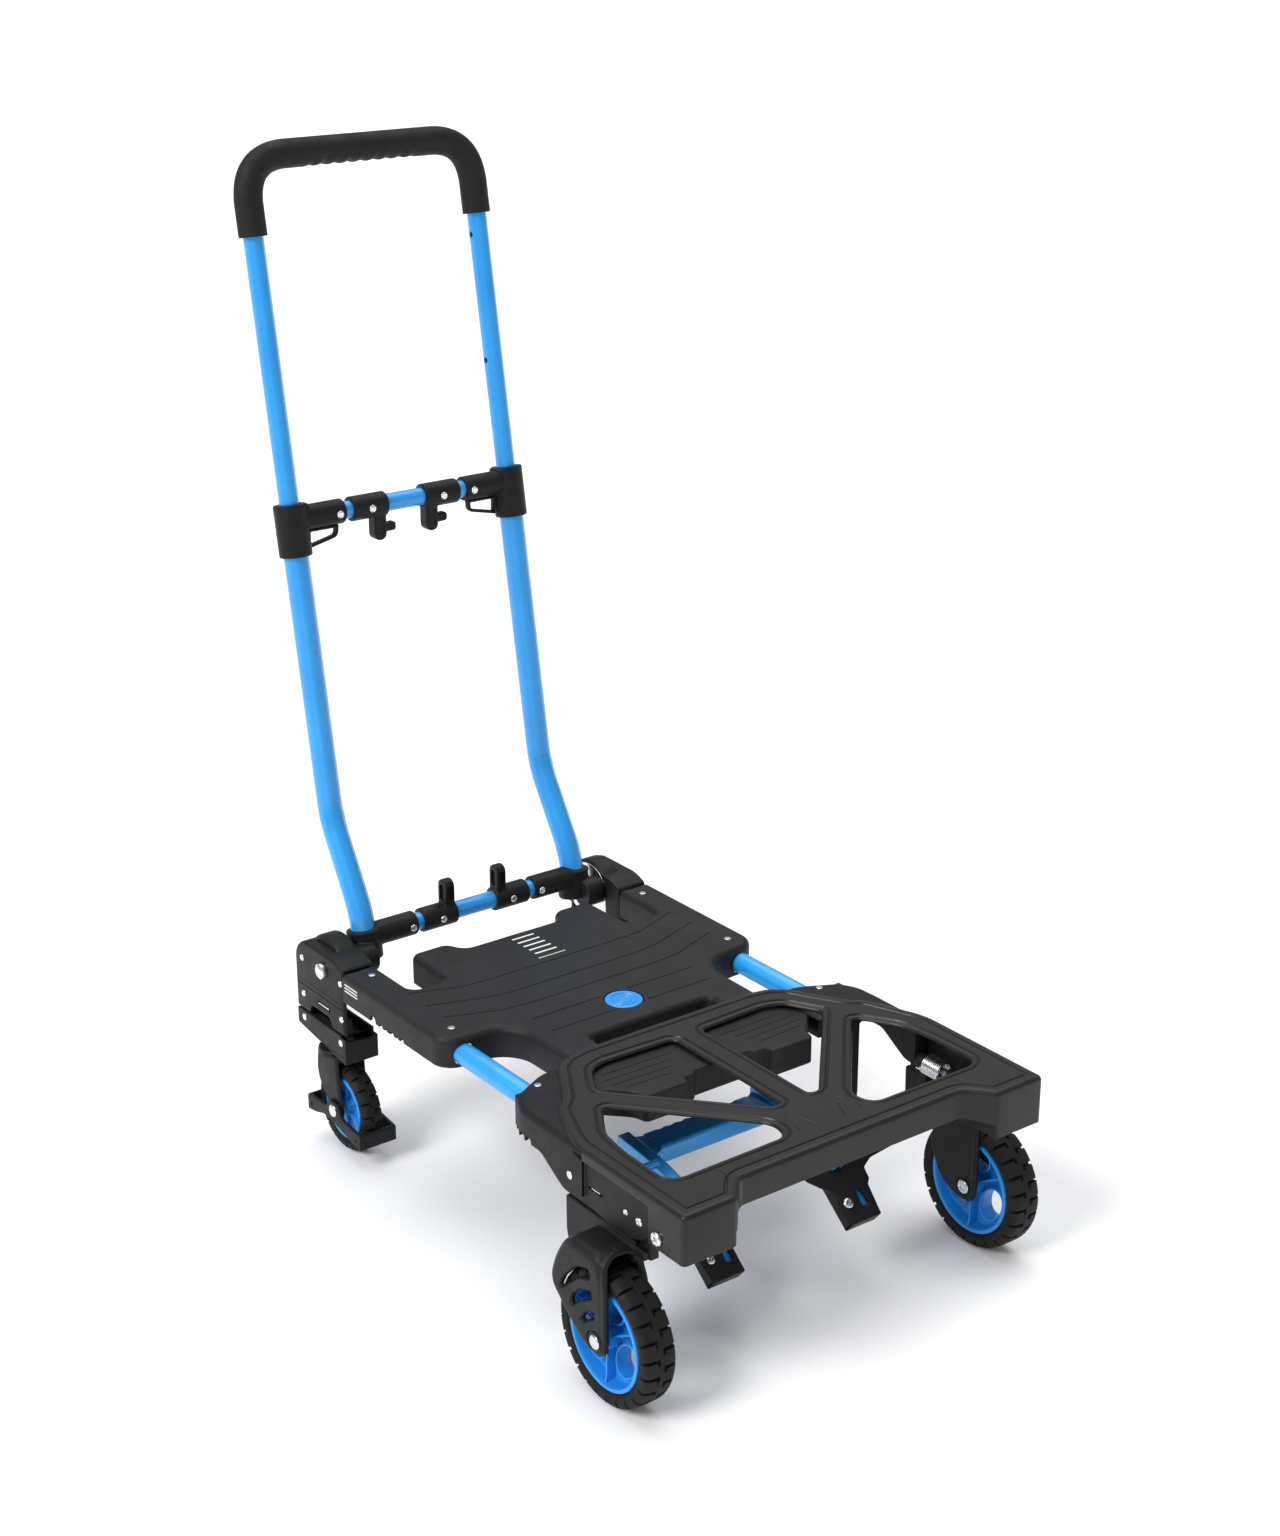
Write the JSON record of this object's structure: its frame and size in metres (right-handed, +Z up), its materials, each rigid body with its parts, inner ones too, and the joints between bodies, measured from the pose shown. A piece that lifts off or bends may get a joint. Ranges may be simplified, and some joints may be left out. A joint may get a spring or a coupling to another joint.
{
  "type": "folding platform cart",
  "caption": "Folding platform cart with a telescopic U handle, sliding deck, hinged toe plate, folding front wheels and swivel casters with brake pedals.",
  "frame": {"origin": "on the floor under the middle of the whole cart, wheels down and handle up", "axes": "+Z up, +Y towards the handle end, -Y towards the toe plate, X across the cart; left is -X"},
  "size_m": [0.475, 0.8012, 0.9733],
  "materials": {
    "deck_plastic": "fine grained charcoal moulding",
    "toe_plastic": "satin brown-black moulding",
    "black_plastic": "satin black moulding",
    "blue_paint": "semi-gloss azure powder coat on tube",
    "blue_plastic": "satin azure moulding",
    "tyre": "block tread rubber",
    "grip_rubber": "soft matte foam rubber",
    "zinc": "bright zinc plate"
  },
  "bodies": {
    "deck": {"deck_shell": "deck_plastic", "deck_tube_left": "blue_paint", "deck_tube_right": "blue_paint", "rear_bracket_left": "black_plastic", "rear_bracket_right": "black_plastic", "handle_pivot_bolt_left": "zinc", "handle_pivot_bolt_right": "zinc"},
    "release_button": {"release_button": "blue_plastic"},
    "front_frame": {"front_saddle_left": "black_plastic", "front_saddle_right": "black_plastic", "front_beam": "black_plastic", "toe_hinge_bolt_left": "zinc", "toe_hinge_bolt_right": "zinc", "fold_hinge_pin_left": "zinc", "fold_hinge_pin_right": "zinc"},
    "toe_plate": {"toe_plate": "toe_plastic"},
    "handle_lower": {"t_socket_left": "black_plastic", "t_socket_right": "black_plastic", "lower_upright_left": "blue_paint", "lower_upright_right": "blue_paint", "lower_crossbar": "blue_paint", "fin_sleeve_left": "black_plastic", "fin_sleeve_right": "black_plastic", "clamp_left": "black_plastic", "clamp_right": "black_plastic", "upper_crossbar": "blue_paint", "hook_sleeve_left": "black_plastic", "hook_sleeve_right": "black_plastic"},
    "handle_upper": {"handle_tube": "blue_paint", "handle_grip": "grip_rubber"},
    "release_loop_left": {"release_loop_left": "black_plastic"},
    "release_loop_right": {"release_loop_right": "black_plastic"},
    "lever": {"lever_frame": "blue_paint", "lever_shoe_left": "black_plastic", "lever_shoe_right": "black_plastic"},
    "front_fold_left": {"fold_block_left": "black_plastic", "fold_spring_left": "zinc", "front_fork_left": "black_plastic", "front_axle_left": "zinc"},
    "front_wheel_left": {"front_rim_left": "blue_plastic", "front_tyre_left": "tyre"},
    "rear_fold_left": {"caster_box_left": "black_plastic"},
    "caster_left": {"caster_fork_left": "black_plastic", "caster_axle_left": "zinc"},
    "rear_wheel_left": {"rear_rim_left": "blue_plastic", "rear_tyre_left": "tyre"},
    "brake_left": {"brake_pedal_left": "black_plastic"},
    "front_fold_right": {"fold_block_right": "black_plastic", "fold_spring_right": "zinc", "front_fork_right": "black_plastic", "front_axle_right": "zinc"},
    "front_wheel_right": {"front_rim_right": "blue_plastic", "front_tyre_right": "tyre"},
    "rear_fold_right": {"caster_box_right": "black_plastic"},
    "caster_right": {"caster_fork_right": "black_plastic", "caster_axle_right": "zinc"},
    "rear_wheel_right": {"rear_rim_right": "blue_plastic", "rear_tyre_right": "tyre"},
    "brake_right": {"brake_pedal_right": "black_plastic"}
  },
  "joints": [
    {"name": "deck_slide", "type": "slide", "parent": "deck", "child": "front_frame", "axis": [0, -1, 0], "range_m": [-0.08, 0]},
    {"name": "button_press", "type": "slide", "parent": "deck", "child": "release_button", "axis": [0, 0, -1], "range_m": [0, 0.004], "stiffness_N_per_m": 800},
    {"name": "toe_fold", "type": "hinge", "parent": "front_frame", "child": "toe_plate", "pos_m": [0, -0.3656, 0.174], "axis": [1, 0, 0], "range_deg": [0, 90]},
    {"name": "handle_fold", "type": "hinge", "parent": "deck", "child": "handle_lower", "pos_m": [0, 0.2034, 0.195], "axis": [-1, 0, 0], "range_deg": [-100, 80]},
    {"name": "handle_telescope", "type": "slide", "parent": "handle_lower", "child": "handle_upper", "axis": [0, 0.1714, 0.9852], "range_m": [-0.25, 0]},
    {"name": "lever_fold", "type": "hinge", "parent": "front_frame", "child": "lever", "pos_m": [0, -0.2036, 0.128], "axis": [1, 0, 0], "range_deg": [0, 150]},
    {"name": "release_pull_left", "type": "slide", "parent": "handle_lower", "child": "release_loop_left", "axis": [0, 0, 1], "range_m": [0, 0.003], "stiffness_N_per_m": 900},
    {"name": "front_fold_left", "type": "hinge", "parent": "front_frame", "child": "front_fold_left", "pos_m": [-0.187, 0.0024, 0.172], "axis": [0, 1, 0], "range_deg": [-90, 0]},
    {"name": "front_wheel_spin_left", "type": "hinge", "parent": "front_fold_left", "child": "front_wheel_left", "pos_m": [-0.212, -0.3206, 0.0635], "axis": [1, 0, 0], "continuous": true},
    {"name": "rear_fold_left", "type": "hinge", "parent": "deck", "child": "rear_fold_left", "pos_m": [-0.177, 0.0024, 0.13], "axis": [0, -1, 0], "range_deg": [0, 90]},
    {"name": "caster_swivel_left", "type": "hinge", "parent": "rear_fold_left", "child": "caster_left", "pos_m": [-0.169, 0.2094, 0.1], "axis": [0, 0, 1], "continuous": true},
    {"name": "rear_wheel_spin_left", "type": "hinge", "parent": "caster_left", "child": "rear_wheel_left", "pos_m": [-0.169, 0.1894, 0.046], "axis": [1, 0, 0], "continuous": true},
    {"name": "brake_press_left", "type": "hinge", "parent": "caster_left", "child": "brake_left", "pos_m": [-0.169, 0.1894, 0.046], "axis": [1, 0, 0], "range_deg": [0, 12]},
    {"name": "release_pull_right", "type": "slide", "parent": "handle_lower", "child": "release_loop_right", "axis": [0, 0, 1], "range_m": [0, 0.003], "stiffness_N_per_m": 900},
    {"name": "front_fold_right", "type": "hinge", "parent": "front_frame", "child": "front_fold_right", "pos_m": [0.187, 0.0024, 0.172], "axis": [0, 1, 0], "range_deg": [0, 90]},
    {"name": "front_wheel_spin_right", "type": "hinge", "parent": "front_fold_right", "child": "front_wheel_right", "pos_m": [0.212, -0.3206, 0.0635], "axis": [1, 0, 0], "continuous": true},
    {"name": "rear_fold_right", "type": "hinge", "parent": "deck", "child": "rear_fold_right", "pos_m": [0.177, 0.0024, 0.13], "axis": [0, 1, 0], "range_deg": [0, 90]},
    {"name": "caster_swivel_right", "type": "hinge", "parent": "rear_fold_right", "child": "caster_right", "pos_m": [0.169, 0.2094, 0.1], "axis": [0, 0, 1], "continuous": true},
    {"name": "rear_wheel_spin_right", "type": "hinge", "parent": "caster_right", "child": "rear_wheel_right", "pos_m": [0.169, 0.1894, 0.046], "axis": [1, 0, 0], "continuous": true},
    {"name": "brake_press_right", "type": "hinge", "parent": "caster_right", "child": "brake_right", "pos_m": [0.169, 0.1894, 0.046], "axis": [1, 0, 0], "range_deg": [0, 12]}
  ],
  "couplings": [
    {"joint": "lever_fold", "follows": "front_fold_left", "ratio": -1.6667},
    {"joint": "front_fold_right", "follows": "front_fold_left", "ratio": -1},
    {"joint": "rear_fold_right", "follows": "rear_fold_left", "ratio": 1}
  ]
}
